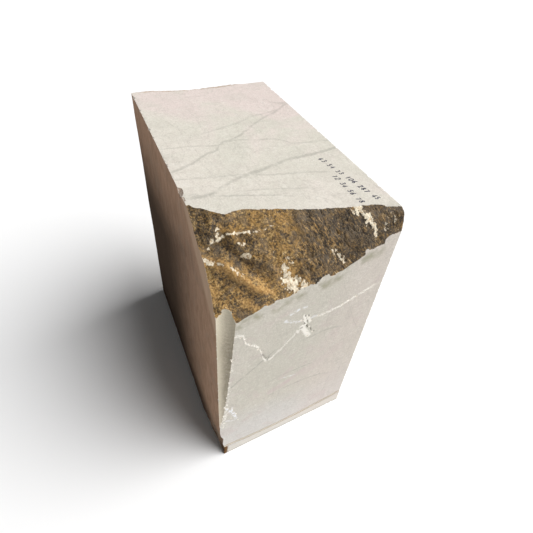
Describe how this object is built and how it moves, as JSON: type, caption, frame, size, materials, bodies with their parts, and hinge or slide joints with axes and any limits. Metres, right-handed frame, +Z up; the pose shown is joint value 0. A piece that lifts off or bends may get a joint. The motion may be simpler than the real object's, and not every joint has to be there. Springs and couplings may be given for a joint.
{
  "type": "marble block",
  "caption": "Upright block of pale marble, sawn flat on five sides, with rough brown natural skin over the front top edge and the back, a half drill hole and chipped corners.",
  "frame": {"origin": "middle of the footprint's bounding box, in the plane of the sawn foot that the block stands on", "axes": "+Z up along the block's height, the front face with the rough top edge looks along -Y, +X to the right seen from the front"},
  "size_m": [0.3336, 0.5656, 0.6351],
  "materials": {
    "marble": "dry sawn marble, matt, with rough brown skin on the unsawn sides"
  },
  "bodies": {
    "root": {"marble_block": "marble"}
  },
  "joints": []
}
